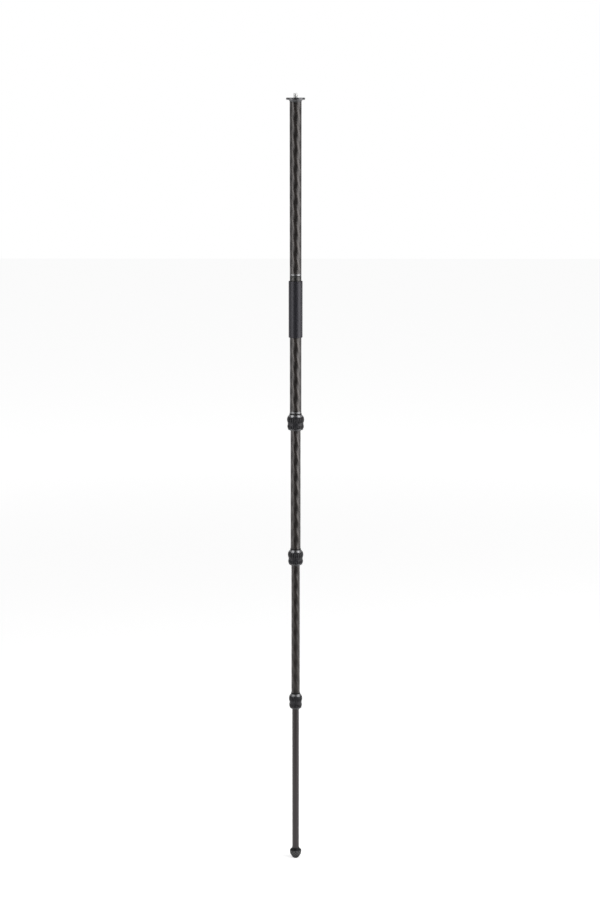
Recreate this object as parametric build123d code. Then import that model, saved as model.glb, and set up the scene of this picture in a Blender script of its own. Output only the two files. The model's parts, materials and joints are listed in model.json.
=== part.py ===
from build123d import *
import os

# Four-section carbon-fibre monopod: a stud platform on a column, screwed onto a telescoping leg.
# Millimetres, +Z up. The origin is where the rubber foot meets the ground, on the pole's axis.
# The pole stands drawn out to its full height with its three twist locks closed.

# Heights on the pole's axis, from the ground up
FOOT_TOP = 26.0
LOCK_HEIGHTS = {1: 1020.2, 2: 717.7, 3: 384.2}
GRIP_BOTTOM = 1198.7
GRIP_TOP = 1320.4
COLLAR_TOP = 1331.0
COLUMN_FITTING_TOP = 1335.9
COLUMN_TOP = 1694.5
PLATFORM_TOP = 1703.6
STUD_TOP = 1712.8
TRIM_RING_BOTTOM = 1033.9
TRIM_RING_TOP = 1038.0
LAST_TUBE_END = 12.0

# Tubes: outer radius, and the room that a smaller tube's guide shims have around it
TUBE_RADIUS = {1: 12.5, 2: 10.9, 3: 9.3, 4: 7.6}
SHIM_SPACE = 0.55
LAST_TUBE_BORE = 6.5
COLUMN_BORE = 11.0
TRIM_RING_THICKNESS = 0.2
GRIP_RADIUS = 15.0
GRIP_ROUNDING = 0.9

# Twist locks, as heights from the widest point of the rubber bulge
WIPER_TOP = 13.2
NUT_TOP = 10.6
CONE_FOOT = 6.6
NUT_BOTTOM = -22.8
MOUTH_BOTTOM = -24.6
LIP_TOP = -19.5
GROOVE_BOTTOM = -20.8
GROOVE_TOP = -18.8
THREAD_TOP = 6.6
THREAD_BOTTOM = -7.0
SEAT_BOTTOM = -17.0
TUBE_END = -3.0
FERRULE_BOTTOM = -6.5
SHOULDER = 3.5
BULGE_MIDDLE = -0.8
SLEEVE_WAIST_TOP = -5.2
SLEEVE_WAIST_BOTTOM = -13.0

# Twist locks, as thicknesses outside the larger tube's radius: the last lock's are a little smaller
LOCK_FULLNESS = {1: 1.0, 2: 1.0, 3: 0.9}
NECK_OUT = 0.8
CONE_FOOT_OUT = 4.05
SHOULDER_OUT = 5.45
BULGE_OUT = 6.15
WAIST_EDGE_OUT = 5.4
LOWER_EDGE_OUT = 5.05
SLEEVE_BOTTOM_OUT = 4.7
SLEEVE_SEAT_OUT = 2.9
LIP_OUT = 4.05

# Twist locks, as thicknesses outside the larger tube's radius on every lock, and gaps
LIP_GAP = 0.3
LIP_CHAMFER = 0.8
THREAD_OUT = 1.6
THREAD_CHAMFER = 0.4
WIPER_EDGE = 0.25
RUNNING_GAP = 0.1
NUT_GAP = 0.3

# Twist locks, as thicknesses outside the smaller tube's radius
MOUTH_GAP = 0.5
MOUTH_OUT = 1.2
SEAT_FOOT_OUT = 1.3
SEAL_OUT = 1.6
TAPER_GAP = 0.15
COLLET_GAP = 0.06
SEAL_GAP = 0.1

# Flutes of the rubber sleeves
FLUTES = 24
FLUTE_RADIUS = 1.5
FLUTE_RUN_OUT = 4.0
FLUTE_TOP = 4.5
UPPER_FLUTE_FLOOR_OUT = 5.25
LOWER_FLUTE_FLOOR_OUT = 4.95

# Collet slits and guide shims
COLLET_SLITS = 6
SLIT_WIDTH = 1.2
COLLET_SHOULDER_DROP = 0.6
COLLET_BAND = 1.5
SHIM_LENGTH = 24.0
SHIM_STOP_GAP = 0.3
SHIM_SPLIT = 2.0
SHIM_GAP = 0.06
PIP_RADIUS = 2.0
PIP_RISE = 6.0
TUBE_LIP = 0.7

# Camera screw and joining stud, both three eighths of an inch
STUD_RADIUS = 4.76
STUD_CHAMFER = 0.9
PLATFORM_RADIUS = 20.0
PLATFORM_THICKNESS = 4.6
FLARE_RADIUS = 4.0
PLATFORM_RIM = 0.8
STUD_FLANGE_RADIUS = 7.5
STUD_FLANGE_THICKNESS = 1.6
STUD_LENGTH_IN_COLUMN = 16.0
TOP_PLUG_LENGTH = 24.0

# Joint between the column and the leg
SEAM = 0.3
SPIGOT_LENGTH = 20.0
COLUMN_HOLE_DEPTH = 15.0
JOINING_STUD_RISE = 13.0
JOINING_STUD_SINK = 7.0
COLLAR_SPIGOT_LENGTH = 9.0
EDGE_CHAMFER = 0.5

# Foot
FOOT_RADIUS = 13.3
FOOT_NECK_RADIUS = 8.2
FOOT_SHOULDER = 23.8
FOOT_BAND_TOP = 18.6
FOOT_BAND_BOTTOM = 14.6
FOOT_EDGE = 0.5
TREAD_TOP_RADIUS = 12.7
TREAD_MIDDLE = (12.5, 0, 11.0)
TREAD_BOTTOM = (8.4, 0, 4.0)
SOLE_MIDDLE = (6.4, 0, 1.4)
SOLE_RADIUS = 3.5
FOOT_LUGS = 12
LUG_GAP = 1.7
UPPER_LUGS = (11.5, 8.2, 13.8)
LOWER_LUGS = (8.6, 2.2, 6.8)
LUG_GROOVE = (9.8, 7.0, 8.0)
FOOT_STUD_RADIUS = 4.0
FOOT_STUD_BOTTOM = 6.0
FOOT_INSERT_TOP = 30.0


def tube_bore(number):
    """Inner radius of a leg tube: it leaves the shims' room around the next tube."""
    return TUBE_RADIUS[number + 1] + SHIM_SPACE if number < 4 else LAST_TUBE_BORE


def turned(*path):
    """Revolves a closed outline, given as (radius, height) corners, about the pole's axis."""
    corners = [(radius, 0, height) for radius, height in path]
    return revolve(make_face(Polyline(*corners, close=True)), Axis.Z)


def ring(inner, outer, bottom, top):
    """A plain ring between two radii and two heights."""
    return turned((inner, bottom), (outer, bottom), (outer, top), (inner, top))


def at_height(shape, height):
    """Lifts a shape that was drawn about height zero to its place on the pole."""
    return Pos(0, 0, height) * shape


def around(count, make, offset=0.0):
    """Copies of a shape at equal angles around the pole's axis."""
    return [Rot(0, 0, offset + 360 / count * turn) * make for turn in range(count)]


def camera_screw():
    """The stud that a camera or head screws onto, with a flange that clamps the platform."""
    flange_top = PLATFORM_TOP - RUNNING_GAP
    flange_bottom = flange_top - STUD_FLANGE_THICKNESS
    bottom = COLUMN_TOP - STUD_LENGTH_IN_COLUMN
    return turned(
        (0, bottom), (STUD_RADIUS, bottom),
        (STUD_RADIUS, flange_bottom), (STUD_FLANGE_RADIUS, flange_bottom),
        (STUD_FLANGE_RADIUS, flange_top), (STUD_RADIUS, flange_top),
        (STUD_RADIUS, STUD_TOP - STUD_CHAMFER), (STUD_RADIUS - STUD_CHAMFER, STUD_TOP), (0, STUD_TOP),
    )


def platform_plate():
    """A thin round plate whose underside runs down in a hollow curve to the column's width."""
    neck = TUBE_RADIUS[1]
    underside = PLATFORM_TOP - PLATFORM_THICKNESS
    rim_bottom = (PLATFORM_RADIUS - PLATFORM_RIM, 0, underside)
    rim_side = (PLATFORM_RADIUS, 0, PLATFORM_TOP - PLATFORM_THICKNESS / 2)
    rim_top = (PLATFORM_RADIUS - PLATFORM_RIM, 0, PLATFORM_TOP)
    flare_top = (neck + FLARE_RADIUS, 0, underside)
    flare_foot = (neck, 0, underside - FLARE_RADIUS)
    sag = FLARE_RADIUS * (1 - 0.5 ** 0.5)
    flare_middle = (neck + sag, 0, underside - sag)
    recess_floor = PLATFORM_TOP - RUNNING_GAP - STUD_FLANGE_THICKNESS
    recess_radius = STUD_FLANGE_RADIUS + RUNNING_GAP
    hole = STUD_RADIUS + RUNNING_GAP
    outline = Polyline(
        rim_top, (recess_radius, 0, PLATFORM_TOP), (recess_radius, 0, recess_floor),
        (hole, 0, recess_floor), (hole, 0, COLUMN_TOP), (neck, 0, COLUMN_TOP), flare_foot,
    )
    outline += ThreePointArc(flare_foot, flare_middle, flare_top)
    outline += Line(flare_top, rim_bottom)
    outline += ThreePointArc(rim_bottom, rim_side, rim_top)
    return revolve(make_face(outline), Axis.Z)


def column_top_plug():
    """The metal plug bonded in the column's top, which the camera screw goes into."""
    return ring(STUD_RADIUS, COLUMN_BORE, COLUMN_TOP - TOP_PLUG_LENGTH, COLUMN_TOP)


def column_tube():
    """The carbon tube between the leg and the platform."""
    return ring(COLUMN_BORE, TUBE_RADIUS[1], COLUMN_FITTING_TOP, COLUMN_TOP)


def column_end_fitting():
    """The bright ring at the column's lower end, with the spigot and the blind hole inside it."""
    outer = TUBE_RADIUS[1]
    hole = STUD_RADIUS + RUNNING_GAP
    spigot_top = COLUMN_FITTING_TOP + SPIGOT_LENGTH
    hole_top = COLLAR_TOP + COLUMN_HOLE_DEPTH
    seam = COLLAR_TOP + SEAM
    return turned(
        (hole, seam), (outer - EDGE_CHAMFER, seam), (outer, seam + EDGE_CHAMFER),
        (outer, COLUMN_FITTING_TOP), (COLUMN_BORE, COLUMN_FITTING_TOP),
        (COLUMN_BORE, spigot_top), (0, spigot_top), (0, hole_top), (hole, hole_top),
    )


def joining_stud():
    """The stud that stands on the leg's top and goes up into the column's end."""
    bottom = GRIP_TOP - JOINING_STUD_SINK
    top = COLLAR_TOP + JOINING_STUD_RISE
    return turned(
        (0, bottom), (STUD_RADIUS, bottom), (STUD_RADIUS, top - STUD_CHAMFER),
        (STUD_RADIUS - STUD_CHAMFER, top), (0, top),
    )


def leg_top_collar():
    """The collar at the leg's top, with its spigot bonded in the first leg tube."""
    outer = TUBE_RADIUS[1]
    spigot = tube_bore(1)
    spigot_bottom = GRIP_TOP - COLLAR_SPIGOT_LENGTH
    return turned(
        (STUD_RADIUS, spigot_bottom), (spigot, spigot_bottom), (spigot, GRIP_TOP),
        (outer, GRIP_TOP), (outer, COLLAR_TOP - EDGE_CHAMFER),
        (outer - EDGE_CHAMFER, COLLAR_TOP), (STUD_RADIUS, COLLAR_TOP),
    )


def foam_grip():
    """The soft sleeve drawn over the first leg tube, with its ends slightly rounded."""
    sleeve = ring(TUBE_RADIUS[1], GRIP_RADIUS, GRIP_BOTTOM, GRIP_TOP)
    end_edges = sleeve.edges().filter_by(GeomType.CIRCLE).group_by(SortBy.RADIUS)[-1]
    return fillet(end_edges, GRIP_ROUNDING)


def shim_holes(number):
    """Four round holes through a tube's wall near its top, which the shims' pips sit in."""
    middle = tube_top(number) - TUBE_LIP - SHIM_LENGTH / 2
    reach = TUBE_RADIUS[number] + SHIM_SPACE
    hole = Rot(0, 90, 0) * Cylinder(PIP_RADIUS + RUNNING_GAP, reach, align=(
        Align.CENTER, Align.CENTER, Align.MIN))
    rises = (-PIP_RISE, PIP_RISE)
    return [Pos(0, 0, middle + rise) * Rot(0, 0, turn) * hole for rise in rises for turn in (90, 270)]


def tube_top(number):
    """Height of the top end of a sliding tube, just above the shims that rest on the collet."""
    return LOCK_HEIGHTS[number - 1] + TUBE_END + SHIM_STOP_GAP + SHIM_LENGTH + TUBE_LIP


def leg_tube(number):
    """One of the four carbon leg tubes, numbered from the top."""
    top = GRIP_TOP if number == 1 else tube_top(number)
    bottom = LOCK_HEIGHTS[number] + TUBE_END if number < 4 else LAST_TUBE_END
    tube = ring(tube_bore(number), TUBE_RADIUS[number], bottom, top)
    return tube if number == 1 else tube - shim_holes(number)


def trim_ring():
    """The bright metal band around the first leg tube, just above its lock."""
    outer = TUBE_RADIUS[1] + TRIM_RING_THICKNESS
    return ring(TUBE_RADIUS[1], outer, TRIM_RING_BOTTOM, TRIM_RING_TOP)


def ferrule(number):
    """The threaded bush bonded around a tube's lower end, which the twist nut turns on."""
    bore = TUBE_RADIUS[number]
    outer = bore + THREAD_OUT
    edge = outer - THREAD_CHAMFER
    return at_height(turned(
        (bore, FERRULE_BOTTOM), (edge, FERRULE_BOTTOM), (outer, FERRULE_BOTTOM + THREAD_CHAMFER),
        (outer, THREAD_TOP - THREAD_CHAMFER), (edge, THREAD_TOP), (bore, THREAD_TOP),
    ), LOCK_HEIGHTS[number])


def collet(number):
    """The split sleeve that the nut's taper squeezes onto the smaller tube."""
    larger, smaller = TUBE_RADIUS[number], TUBE_RADIUS[number + 1]
    bore = smaller + COLLET_GAP
    shoulder = larger + THREAD_OUT - RUNNING_GAP
    taper_foot = smaller + SEAT_FOOT_OUT - TAPER_GAP
    bottom = SEAT_BOTTOM + NUT_GAP
    body = turned(
        (bore, bottom), (taper_foot, bottom), (shoulder, THREAD_BOTTOM - COLLET_SHOULDER_DROP),
        (shoulder, FERRULE_BOTTOM), (larger, FERRULE_BOTTOM), (larger, TUBE_END), (bore, TUBE_END),
    )
    slit_top = THREAD_BOTTOM - COLLET_BAND
    slits = around(COLLET_SLITS, slit_cutter(larger, slit_top))
    split = slit_cutter(larger, TUBE_END)
    return at_height(body - slits - split, LOCK_HEIGHTS[number])


def slit_cutter(tube_radius, top):
    """A thin upright cutter on one side of the axis, from a collet's foot up to a given height."""
    reach = tube_radius + THREAD_OUT
    return Pos(0, 0, SEAT_BOTTOM) * Box(reach, SLIT_WIDTH, top - SEAT_BOTTOM, align=(
        Align.MIN, Align.CENTER, Align.MIN))


def lock_radius(number, thickness):
    """Radius of a lock at a thickness outside its larger tube."""
    return TUBE_RADIUS[number] + LOCK_FULLNESS[number] * thickness


def twist_nut(number):
    """The metal nut: a polished cone above, a thread and a taper inside, a lip and a mouth below."""
    larger, smaller = TUBE_RADIUS[number], TUBE_RADIUS[number + 1]
    neck = lock_radius(number, NECK_OUT)
    cone_foot = lock_radius(number, CONE_FOOT_OUT)
    seat = lock_radius(number, SLEEVE_SEAT_OUT)
    lip = lock_radius(number, LIP_OUT)
    mouth = smaller + MOUTH_GAP
    mouth_edge = smaller + MOUTH_OUT
    groove = smaller + SEAL_OUT
    thread = larger + THREAD_OUT + RUNNING_GAP
    bore = larger + LIP_GAP
    return at_height(turned(
        (neck, NUT_TOP), (cone_foot, CONE_FOOT), (seat, CONE_FOOT), (seat, LIP_TOP), (lip, LIP_TOP),
        (lip, NUT_BOTTOM + LIP_CHAMFER), (lip - LIP_CHAMFER, NUT_BOTTOM), (mouth_edge, NUT_BOTTOM),
        (mouth_edge, MOUTH_BOTTOM), (mouth, MOUTH_BOTTOM), (mouth, GROOVE_BOTTOM),
        (groove, GROOVE_BOTTOM), (groove, GROOVE_TOP), (mouth, GROOVE_TOP), (mouth, SEAT_BOTTOM),
        (smaller + SEAT_FOOT_OUT, SEAT_BOTTOM), (thread, THREAD_BOTTOM), (thread, THREAD_TOP + NUT_GAP),
        (bore, THREAD_TOP + NUT_GAP), (bore, NUT_TOP),
    ), LOCK_HEIGHTS[number])


def grip_sleeve(number):
    """The fluted rubber sleeve on a twist nut, with a full bulge above a waist and a low one below."""
    seat = lock_radius(number, SLEEVE_SEAT_OUT)
    top = (lock_radius(number, CONE_FOOT_OUT), 0, CONE_FOOT)
    shoulder = (lock_radius(number, SHOULDER_OUT), 0, SHOULDER)
    fullest = (lock_radius(number, BULGE_OUT), 0, BULGE_MIDDLE)
    waist_top = (lock_radius(number, WAIST_EDGE_OUT), 0, SLEEVE_WAIST_TOP)
    waist_bottom = (lock_radius(number, LOWER_EDGE_OUT), 0, SLEEVE_WAIST_BOTTOM)
    bottom = (lock_radius(number, SLEEVE_BOTTOM_OUT), 0, LIP_TOP)
    upper_side = ThreePointArc(top, shoulder, fullest)
    bulge = TangentArc(fullest, waist_top, tangent=upper_side % 1)
    waist = TangentArc(waist_top, waist_bottom, tangent=bulge % 1)
    lower_bulge = TangentArc(waist_bottom, bottom, tangent=waist % 1)
    inside = Polyline(bottom, (seat, 0, LIP_TOP), (seat, 0, CONE_FOOT), top)
    sleeve = revolve(make_face(upper_side + bulge + waist + lower_bulge + inside), Axis.Z)
    upper_floor = lock_radius(number, UPPER_FLUTE_FLOOR_OUT)
    lower_floor = lock_radius(number, LOWER_FLUTE_FLOOR_OUT)
    sleeve -= flutes(upper_floor, SLEEVE_WAIST_TOP - FLUTE_RUN_OUT, FLUTE_TOP)
    sleeve -= flutes(lower_floor, LIP_TOP - 1, SLEEVE_WAIST_BOTTOM + 1)
    return at_height(sleeve, LOCK_HEIGHTS[number])


def flutes(floor_radius, bottom, top):
    """Upright round cutters that reach in to a given radius, all round the pole."""
    cutter = Cylinder(FLUTE_RADIUS, top - bottom, align=(Align.CENTER, Align.CENTER, Align.MIN))
    return around(FLUTES, Pos(floor_radius + FLUTE_RADIUS, 0, bottom) * cutter)


def wiper(number):
    """The dark lip on top of a nut that keeps dust out of its thread."""
    bore = TUBE_RADIUS[number] + LIP_GAP
    return at_height(turned(
        (bore, NUT_TOP), (lock_radius(number, NECK_OUT), NUT_TOP),
        (bore + WIPER_EDGE, WIPER_TOP), (bore, WIPER_TOP),
    ), LOCK_HEIGHTS[number])


def mouth_seal(number):
    """The rubber ring in the groove at a nut's lower mouth."""
    smaller = TUBE_RADIUS[number + 1]
    return at_height(ring(
        smaller + SEAL_GAP, smaller + SEAL_OUT, GROOVE_BOTTOM + SEAL_GAP, GROOVE_TOP - SEAL_GAP,
    ), LOCK_HEIGHTS[number])


def guide_shim(number, turn):
    """One of the two half shells on a sliding tube's top, with two pips that go into its wall."""
    inner = TUBE_RADIUS[number]
    outer = inner + SHIM_SPACE - SHIM_GAP
    bottom = tube_top(number) - TUBE_LIP - SHIM_LENGTH
    shell = ring(inner, outer, bottom, bottom + SHIM_LENGTH)
    half_space = Pos(0, SHIM_SPLIT / 2, bottom) * Box(2 * outer, outer, SHIM_LENGTH, align=(
        Align.CENTER, Align.MIN, Align.MIN))
    shell = shell & half_space
    pip_end = tube_bore(number) + RUNNING_GAP
    pip = Rot(-90, 0, 0) * Cylinder(PIP_RADIUS, inner + SHIM_SPACE / 2 - pip_end, align=(
        Align.CENTER, Align.CENTER, Align.MIN))
    middle = bottom + SHIM_LENGTH / 2
    for rise in (-PIP_RISE, PIP_RISE):
        shell += Pos(0, pip_end, middle + rise) * pip
    return Rot(0, 0, turn) * shell


def foot_insert():
    """The metal plug bonded in the last tube, with the stud that holds the rubber foot."""
    return turned(
        (0, FOOT_STUD_BOTTOM), (FOOT_STUD_RADIUS, FOOT_STUD_BOTTOM), (FOOT_STUD_RADIUS, LAST_TUBE_END),
        (LAST_TUBE_BORE, LAST_TUBE_END), (LAST_TUBE_BORE, FOOT_INSERT_TOP), (0, FOOT_INSERT_TOP),
    )


def rubber_foot():
    """The acorn-shaped foot: a smooth band above a tapered tread of lugs in two staggered rows."""
    neck_top = (FOOT_NECK_RADIUS, 0, FOOT_TOP)
    tread_top = (TREAD_TOP_RADIUS, 0, FOOT_BAND_BOTTOM)
    flat = (SOLE_RADIUS, 0, 0)
    band = Polyline(
        neck_top, (FOOT_NECK_RADIUS, 0, FOOT_SHOULDER + FOOT_EDGE),
        (FOOT_NECK_RADIUS + FOOT_EDGE, 0, FOOT_SHOULDER - FOOT_EDGE),
        (FOOT_RADIUS - FOOT_EDGE, 0, FOOT_BAND_TOP + FOOT_EDGE),
        (FOOT_RADIUS, 0, FOOT_BAND_TOP - FOOT_EDGE),
        (FOOT_RADIUS, 0, FOOT_BAND_BOTTOM + FOOT_EDGE), tread_top,
    )
    tread = Polyline(tread_top, TREAD_MIDDLE, TREAD_BOTTOM)
    sole = ThreePointArc(TREAD_BOTTOM, SOLE_MIDDLE, flat)
    inside = Polyline(
        flat, (0, 0, 0), (0, 0, FOOT_STUD_BOTTOM), (FOOT_STUD_RADIUS, 0, FOOT_STUD_BOTTOM),
        (FOOT_STUD_RADIUS, 0, LAST_TUBE_END), (TUBE_RADIUS[4], 0, LAST_TUBE_END),
        (TUBE_RADIUS[4], 0, FOOT_TOP), neck_top,
    )
    foot = revolve(make_face(band + tread + sole + inside), Axis.Z)
    groove_floor, groove_bottom, groove_top = LUG_GROOVE
    foot -= ring(groove_floor, FOOT_RADIUS, groove_bottom, groove_top)
    foot -= around(FOOT_LUGS, lug_gap(*UPPER_LUGS))
    return foot - around(FOOT_LUGS, lug_gap(*LOWER_LUGS), 180 / FOOT_LUGS)


def lug_gap(floor_radius, bottom, top):
    """The cutter for the gap between two lugs of the foot."""
    return Pos(floor_radius, 0, bottom) * Box(FOOT_RADIUS, LUG_GAP, top - bottom, align=(
        Align.MIN, Align.CENTER, Align.MIN))


def all_nodes():
    """Every separate piece of the monopod, by name."""
    nodes = {
        "camera_screw": camera_screw(),
        "platform_plate": platform_plate(),
        "column_top_plug": column_top_plug(),
        "column_tube": column_tube(),
        "column_end_fitting": column_end_fitting(),
        "joining_stud": joining_stud(),
        "leg_top_collar": leg_top_collar(),
        "foam_grip": foam_grip(),
        "leg_1_trim_ring": trim_ring(),
        "foot_insert": foot_insert(),
        "rubber_foot": rubber_foot(),
    }
    for number in (1, 2, 3, 4):
        nodes[f"leg_tube_{number}"] = leg_tube(number)
    for number in (1, 2, 3):
        nodes[f"lock_{number}_ferrule"] = ferrule(number)
        nodes[f"lock_{number}_collet"] = collet(number)
        nodes[f"lock_{number}_nut"] = twist_nut(number)
        nodes[f"lock_{number}_grip_sleeve"] = grip_sleeve(number)
        nodes[f"lock_{number}_wiper"] = wiper(number)
        nodes[f"lock_{number}_mouth_seal"] = mouth_seal(number)
    for number in (2, 3, 4):
        nodes[f"leg_{number}_shim_back"] = guide_shim(number, 0)
        nodes[f"leg_{number}_shim_front"] = guide_shim(number, 180)
    return nodes


os.makedirs("parts", exist_ok=True)
for name, shape in all_nodes().items():
    shape.label = name
    export_step(shape, f"parts/{name}.step")
    print(name, round(shape.volume), "mm3")
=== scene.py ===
# %% [markdown]
# # A four-section camera monopod
# The real object is a slim pole of nested carbon-fibre tubes. A column with a camera platform is
# screwed onto a leg with a foam grip, and three twist locks hold the leg's sections drawn out.
# The measured solids come in first, as a fixed frame. Everything after that is dressing: each visible
# piece is turned again on its own axis with finer edges, and gets a finish. The tubes, locks and foot
# are all round, so nearly every piece starts as an outline that is spun about one axis.

# %% Load the measured frame
import json
import math

import bmesh
import bpy
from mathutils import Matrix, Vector, noise

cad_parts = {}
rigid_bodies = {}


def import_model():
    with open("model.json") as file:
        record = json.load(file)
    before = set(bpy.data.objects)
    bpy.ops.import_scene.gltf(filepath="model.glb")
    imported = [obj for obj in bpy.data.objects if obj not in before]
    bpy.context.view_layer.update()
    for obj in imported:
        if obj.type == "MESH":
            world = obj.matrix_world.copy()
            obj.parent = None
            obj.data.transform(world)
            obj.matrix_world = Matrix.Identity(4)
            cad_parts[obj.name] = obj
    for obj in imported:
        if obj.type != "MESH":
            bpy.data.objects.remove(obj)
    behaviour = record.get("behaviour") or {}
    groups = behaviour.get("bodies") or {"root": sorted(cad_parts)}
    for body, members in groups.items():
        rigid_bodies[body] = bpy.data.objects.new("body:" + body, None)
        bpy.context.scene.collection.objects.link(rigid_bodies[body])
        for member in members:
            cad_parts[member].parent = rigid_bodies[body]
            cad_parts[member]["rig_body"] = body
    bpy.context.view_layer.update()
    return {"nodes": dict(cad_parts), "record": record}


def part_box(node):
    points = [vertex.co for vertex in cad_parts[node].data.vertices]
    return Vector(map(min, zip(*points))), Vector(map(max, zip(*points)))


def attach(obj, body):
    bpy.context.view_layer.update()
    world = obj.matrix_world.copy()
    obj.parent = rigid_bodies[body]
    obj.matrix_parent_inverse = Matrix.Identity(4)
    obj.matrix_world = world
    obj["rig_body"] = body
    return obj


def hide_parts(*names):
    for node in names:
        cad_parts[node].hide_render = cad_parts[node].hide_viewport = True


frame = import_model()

slot_of = {part["node"]: part["material_slot"] for part in frame["record"]["subparts"]}

# %% [markdown]
# ## Sizes
# Heights and radii are written in millimetres, as a maker would give them, and one factor turns them
# into Blender's metres. Each tube of the leg is slimmer than the one above it and slides inside it. The
# locks are drawn about their own widest point, so one outline serves all three, and the last lock is
# only a little slimmer. Sizes that belong to one piece are given where that piece is made.

# %% Sizes of the pole, in millimetres
MM = 0.001
TUBE_RADIUS = {1: 12.5, 2: 10.9, 3: 9.3, 4: 7.6}
TUBE_BORE = {1: 11.45, 2: 9.85, 3: 8.15, 4: 6.5}
POLE_RADIUS = TUBE_RADIUS[1]
COLUMN_BORE = 11.0
COLUMN_BOTTOM, COLUMN_TOP = 1335.9, 1694.5
LOCK_HEIGHT = {1: 1020.2, 2: 717.7, 3: 384.2}
LOCK_FULLNESS = {1: 1.0, 2: 1.0, 3: 0.9}
COLLAR_BOTTOM, COLLAR_TOP = 1320.4, 1331.0
PLATFORM_TOP, STUD_TOP = 1703.6, 1712.8
STUD_RADIUS, STUD_HOLE = 4.76, 4.86
print("pole:", STUD_TOP, "mm tall,", 2 * POLE_RADIUS, "mm thick at the top")

# %% [markdown]
# ## The camera
# The photograph was taken from about the height of the platform and a little over three and a half
# metres away, with a long lens tilted down. From that height the platform shows edge-on and the locks
# show slightly from above, and the tilt draws the pole a little slimmer towards its foot. The pole
# leans by a few hundredths of a degree in the picture, and the camera is rolled by as much. A tall
# frame counts its lens along its height, so the focal length in pixels is divided by the height of the
# picture. Colours are shown plainly, without a film curve, so that the white ground stays white.

# %% Camera
PICTURE_HEIGHT = 901
FOCAL_PIXELS = 1713
CAMERA_PLACE = (0.0092, -3.655, 1.701)
TILT_DOWN = 11.6
ROLL = -0.03
camera_data = bpy.data.cameras.new("camera")
camera_data.sensor_width = 36
camera_data.lens = FOCAL_PIXELS / PICTURE_HEIGHT * camera_data.sensor_width
camera_data.clip_end = 200
camera = bpy.data.objects.new("camera", camera_data)
camera.location = CAMERA_PLACE
camera.rotation_euler = (math.radians(90 - TILT_DOWN), math.radians(ROLL), 0)
bpy.context.scene.collection.objects.link(camera)
bpy.context.scene.camera = camera
bpy.context.scene.view_settings.view_transform = "Standard"
print("lens:", round(camera_data.lens, 1), "mm")

# %% [markdown]
# ## Light
# The tubes show two upright highlights with a dark line between them. That is what two large soft boxes
# do, one on each side and a little towards the camera, with nothing bright behind the camera itself.
# They could be white cards lit by lamps, but a rectangular area light of the same size gives the same
# reflection with less noise. The locks' cones slope up, so they mirror what is high at the sides, and
# two smaller boxes hang there. A weak fifth one is overhead for the tops of the fittings.

# %% Soft boxes
LIT_MIDDLE = Vector((0, 0, 0.95))


def soft_box(name, place, size, watts):
    """A soft rectangular light that faces the middle of the pole."""
    light = bpy.data.lights.new(name, "AREA")
    light.shape = "RECTANGLE"
    light.size, light.size_y = size
    light.energy = watts
    box = bpy.data.objects.new(name, light)
    box.location = place
    aim = LIT_MIDDLE - Vector(place)
    box.rotation_euler = aim.to_track_quat("-Z", "Y").to_euler()
    box.visible_camera = False
    bpy.context.scene.collection.objects.link(box)
    print(name, watts, "W")


soft_box("soft_box_left", place=(-1.82, -1.2, 1.17), size=(1.4, 1.9), watts=33)
soft_box("soft_box_right", place=(1.96, -0.96, 1.17), size=(2.1, 1.9), watts=57)
soft_box("soft_box_upper_left", place=(-1.8, -0.4, 3.4), size=(1.6, 1.2), watts=11)
soft_box("soft_box_upper_right", place=(1.8, -0.4, 3.4), size=(1.6, 1.2), watts=14)
soft_box("soft_box_above", place=(0.0, 0.4, 3.4), size=(1.2, 1.2), watts=10)

# %% [markdown]
# ## Backdrop
# The photograph has a seamless white ground. The world gives an even grey fill. The camera sees it as
# white, and reflections see it pale at the back and dim on the camera's side, as a studio is. A photo
# of a studio round the object would do the same, but here the nodes ask what kind of ray looks, and
# blend from dim to pale by the direction in which it looks.

# %% World
FILL_LIGHT = 0.2
DIM_FRONT, PALE_BACK = 0.03, 0.6


def add_node(tree, kind, inputs=(), **settings):
    """Adds a node, sets its options, and plugs values or other nodes' outputs into its inputs."""
    node = tree.nodes.new(kind)
    for option, value in settings.items():
        setattr(node, option, value)
    for key, value in dict(inputs).items():
        if isinstance(value, bpy.types.NodeSocket):
            tree.links.new(value, node.inputs[key])
        else:
            node.inputs[key].default_value = value
    return node


def maths(tree, operation, *values):
    """The output of one Math node."""
    return add_node(tree, "ShaderNodeMath", enumerate(values), operation=operation).outputs[0]


def split(tree, point):
    """The X, Y and Z outputs of a point."""
    return add_node(tree, "ShaderNodeSeparateXYZ", {0: point}).outputs


def ramp(tree, value, start, end, low=0.0, high=1.0, **settings):
    """A value that goes from low to high as another one goes from start to end."""
    inputs = {"Value": value, "From Min": start, "From Max": end, "To Min": low, "To Max": high}
    return add_node(tree, "ShaderNodeMapRange", inputs, **settings).outputs["Result"]


def seen_directly(tree):
    """1 for the rays by which the camera, a gloss or a clear piece sees a surface, else 0."""
    path = add_node(tree, "ShaderNodeLightPath").outputs
    camera_or_gloss = maths(tree, "MAXIMUM", path["Is Camera Ray"], path["Is Glossy Ray"])
    return maths(tree, "MAXIMUM", camera_or_gloss, path["Is Transmission Ray"])


world = bpy.data.worlds.new("pale_studio")
world.use_nodes = True
bpy.context.scene.world = world
sky = world.node_tree
direction = add_node(sky, "ShaderNodeTexCoord").outputs["Generated"]
studio = ramp(sky, split(sky, direction)["Y"], start=-0.1, end=0.9, low=DIM_FRONT, high=PALE_BACK)
camera_ray = add_node(sky, "ShaderNodeLightPath").outputs["Is Camera Ray"]
backdrop = maths(sky, "MAXIMUM", studio, camera_ray)
strength = add_node(sky, "ShaderNodeMix", {"Factor": seen_directly(sky), "A": FILL_LIGHT, "B": backdrop})
sky.links.new(strength.outputs["Result"], sky.nodes["Background"].inputs["Strength"])
sky.nodes["Background"].inputs["Color"].default_value = (1, 1, 1, 1)
print("world:", len(sky.nodes), "nodes")

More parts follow.
